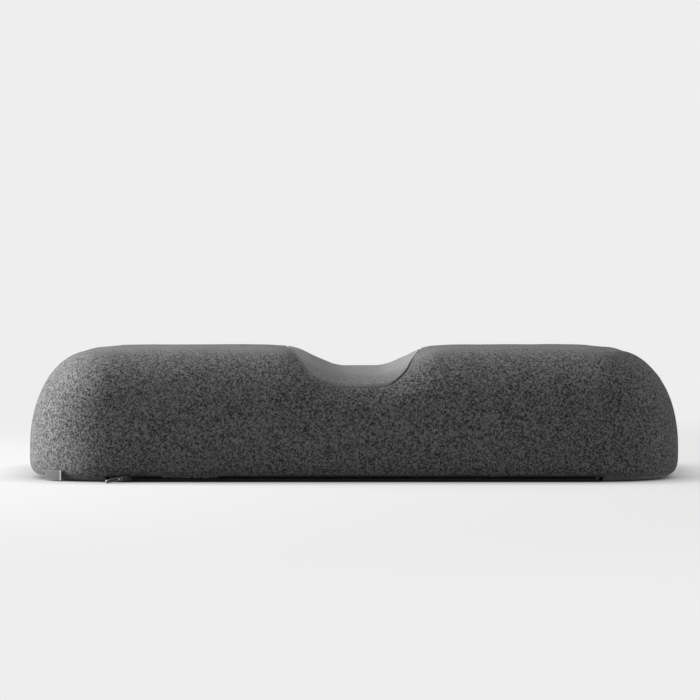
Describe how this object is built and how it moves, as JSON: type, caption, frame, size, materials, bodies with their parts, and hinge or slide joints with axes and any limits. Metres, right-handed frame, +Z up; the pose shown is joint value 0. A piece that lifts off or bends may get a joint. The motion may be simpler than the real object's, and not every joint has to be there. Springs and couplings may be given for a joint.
{
  "type": "neck traction pillow",
  "caption": "Long foam neck pillow with a dip across its middle, in a zip-off knit cover with an inset cradle panel and a zip along the front lower edge.",
  "frame": {"origin": "centre of the underside, midway between the two ends and between the front and back faces", "axes": "+X along the pillow towards the end away from the parked zip slider, -Y towards the zip's face, +Z up"},
  "size_m": [0.6, 0.3159, 0.118],
  "materials": {
    "knit": "matte",
    "cradle_knit": "matte",
    "base_knit": "matte",
    "liner": "matte",
    "foam": "matte",
    "tape": "matte",
    "coil": "satin",
    "metal": "satin",
    "label": "matte"
  },
  "bodies": {
    "pillow": {"foam_core": "foam", "cradle_pad": "foam", "liner_sleeve": "liner", "liner_base": "liner", "cover_wrap_panel": "knit", "cover_left_end": "knit", "cover_right_end": "knit", "cradle_panel": "cradle_knit", "cover_base_panel": "base_knit", "zip_tape_upper": "tape", "zip_tape_lower": "tape", "zip_coil_upper": "coil", "zip_coil_lower": "coil", "zip_top_stop_upper": "metal", "zip_top_stop_lower": "metal", "zip_bottom_stop": "metal", "care_label": "label"},
    "slider": {"zip_slider_body": "metal", "zip_slider_bail": "metal"},
    "pull": {"zip_pull_tab": "metal"}
  },
  "joints": [
    {"name": "slider_slide", "type": "slide", "parent": "pillow", "child": "slider", "axis": [1, 0, 0], "range_m": [-0.008, 0.412]},
    {"name": "pull_hinge", "type": "hinge", "parent": "slider", "child": "pull", "pos_m": [-0.205, -0.1495, 0.0038], "axis": [0, 0, 1], "range_deg": [-34, 130]}
  ]
}
